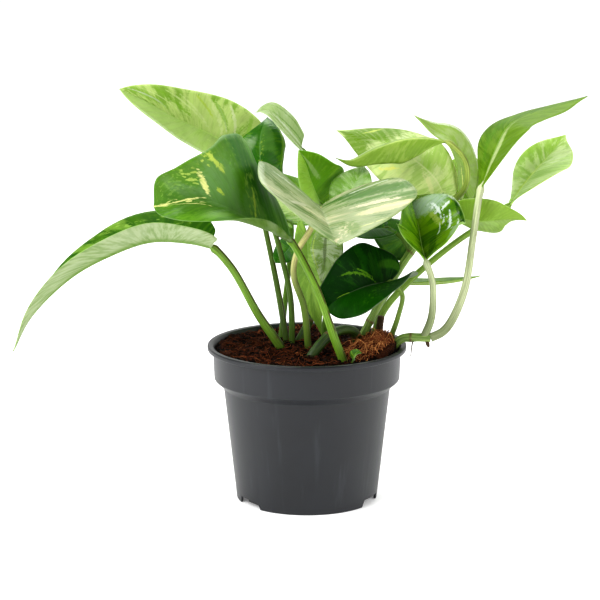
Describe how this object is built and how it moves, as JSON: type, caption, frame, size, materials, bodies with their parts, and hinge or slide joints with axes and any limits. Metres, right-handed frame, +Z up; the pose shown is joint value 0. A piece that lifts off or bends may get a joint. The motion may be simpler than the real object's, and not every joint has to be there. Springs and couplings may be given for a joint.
{
  "type": "potted pothos plant",
  "caption": "Potted pothos: variegated heart-shaped leaves on stalks and short vines, in soil in a round tapered nursery pot.",
  "frame": {"origin": "on the ground at the middle of the pot", "axes": "+Z up; -Y is the front of the plant, where the picture was taken from; +X to the right seen from the front, along the longest spread of the leaves"},
  "size_m": [0.3405, 0.2186, 0.2514],
  "materials": {
    "pot": "satin moulded dark grey",
    "soil": "loose fibrous coir soil",
    "vine": "smooth green plant stem",
    "bark": "dry dark bark",
    "leaf_dark": "glossy dark green leaf",
    "leaf_mid": "glossy mid green leaf",
    "leaf_light": "satin light green leaf",
    "leaf_cream": "satin cream and green marbled leaf"
  },
  "bodies": {
    "root": {"leaf_left_low": "leaf_light", "leaf_left_high": "leaf_light", "leaf_front_left": "leaf_dark", "leaf_behind_left": "leaf_dark", "leaf_front_centre": "leaf_cream", "leaf_centre_tall": "leaf_mid", "leaf_centre_pale": "leaf_cream", "leaf_centre_left": "leaf_mid", "leaf_centre_dark": "leaf_dark", "leaf_right_pale": "leaf_light", "leaf_right_young": "leaf_light", "leaf_right_tall": "leaf_mid", "leaf_right_far": "leaf_light", "leaf_right_low": "leaf_mid", "leaf_right_glossy": "leaf_dark", "leaf_low_dark": "leaf_dark", "leaf_hanging_green": "leaf_mid", "leaf_hanging_grey": "leaf_light", "leaf_small_left": "leaf_dark", "leaf_right_corner": "leaf_mid", "leaf_right_behind": "leaf_light", "leaf_inner_right": "leaf_dark", "leaf_under_cream": "leaf_dark", "leaf_edge_on": "leaf_mid", "leaf_back_left": "leaf_mid", "leaf_back_centre": "leaf_light", "leaf_back_right": "leaf_dark", "leaf_sprout": "leaf_light", "vine_centre": "vine", "vine_right_back": "vine", "vine_over_rim": "vine", "vine_arch": "vine", "cut_stub": "bark", "soil": "soil", "pot": "pot"}
  },
  "joints": []
}
